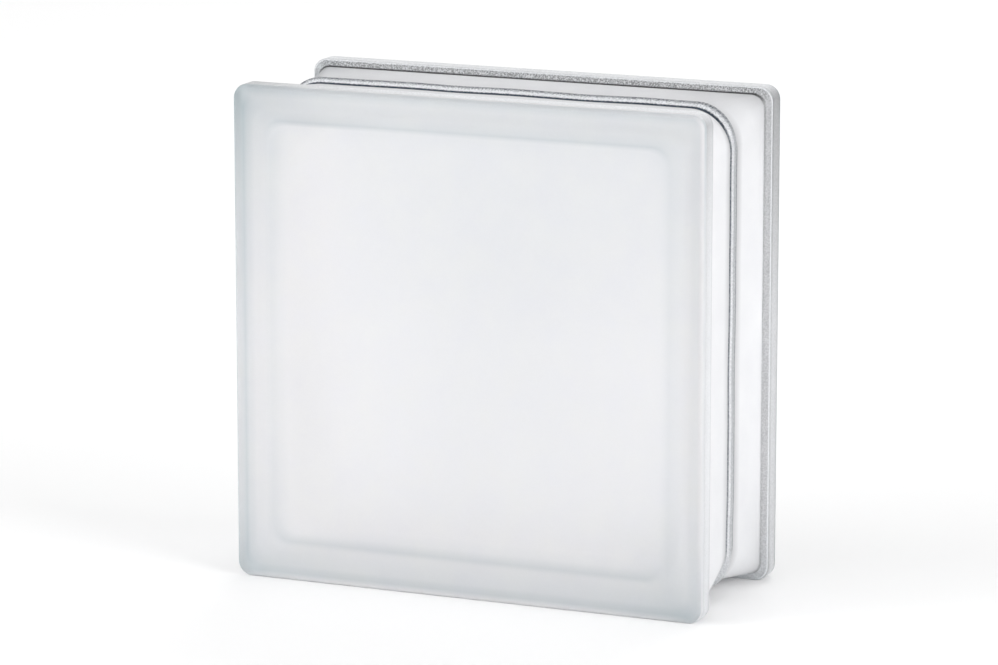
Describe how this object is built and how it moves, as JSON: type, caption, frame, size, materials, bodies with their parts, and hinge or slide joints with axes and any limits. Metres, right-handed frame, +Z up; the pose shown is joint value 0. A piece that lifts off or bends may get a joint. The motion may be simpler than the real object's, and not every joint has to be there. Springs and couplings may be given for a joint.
{
  "type": "glass block",
  "caption": "Square hollow glass block with satin faces, a mortar groove round its edge and a fused seam bead in the groove.",
  "frame": {"origin": "centre of the bottom of the block's box, on the level that it stands on", "axes": "+Z up, +X to the right along the block's width, +Y from the front face to the rear face"},
  "size_m": [0.19, 0.08, 0.19],
  "materials": {
    "satin_glass": "satin"
  },
  "bodies": {
    "root": {"front_half": "satin_glass", "rear_half": "satin_glass"}
  },
  "joints": []
}
